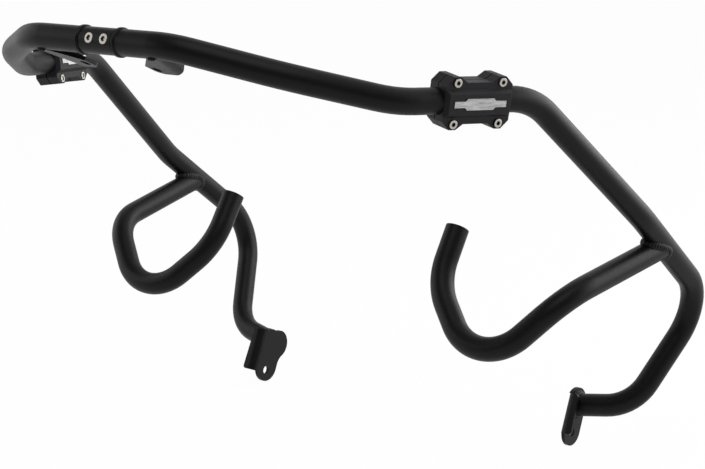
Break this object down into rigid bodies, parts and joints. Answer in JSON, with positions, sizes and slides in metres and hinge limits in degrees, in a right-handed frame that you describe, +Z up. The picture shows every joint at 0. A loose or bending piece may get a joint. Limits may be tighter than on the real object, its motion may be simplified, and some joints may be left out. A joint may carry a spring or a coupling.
{
  "type": "motorcycle crash bars",
  "caption": "Bent tube crash bars that wrap round a motorcycle's front and sides, with a sleeve joint, branch tubes, clamp-on slider blocks and bolt-on plates.",
  "frame": {"origin": "bottom centre of the set's box, under the middle plane", "axes": "+X to the rider's left, +Y to the motorcycle's rear, +Z up; the front run and its joint face -Y"},
  "size_m": [0.6964, 0.5977, 0.4972],
  "materials": {
    "powder_coat": "satin",
    "moulding": "satin",
    "badge": "brushed",
    "stainless": "polished"
  },
  "bodies": {
    "root": {"left_main_tube": "powder_coat", "left_branch_tube": "powder_coat", "left_branch_weld": "powder_coat", "left_branch_plug": "powder_coat", "left_front_bracket": "powder_coat", "left_front_bracket_weld": "powder_coat", "left_mount_plate": "powder_coat", "left_mount_plate_weld": "powder_coat", "left_slider_outer_half": "moulding", "left_slider_inner_half": "moulding", "left_outer_badge_plate": "badge", "left_inner_badge_plate": "badge", "left_slider_screws": "stainless", "left_slider_nuts": "stainless", "left_joint_plug": "powder_coat", "right_main_tube": "powder_coat", "right_branch_tube": "powder_coat", "right_branch_weld": "powder_coat", "right_branch_plug": "powder_coat", "right_front_bracket": "powder_coat", "right_front_bracket_weld": "powder_coat", "right_mount_plate": "powder_coat", "right_mount_plate_weld": "powder_coat", "right_slider_outer_half": "moulding", "right_slider_inner_half": "moulding", "right_outer_badge_plate": "badge", "right_inner_badge_plate": "badge", "right_slider_screws": "stainless", "right_slider_nuts": "stainless", "right_joint_plug": "powder_coat", "joint_sleeve": "powder_coat", "joint_screws": "stainless"}
  },
  "joints": []
}
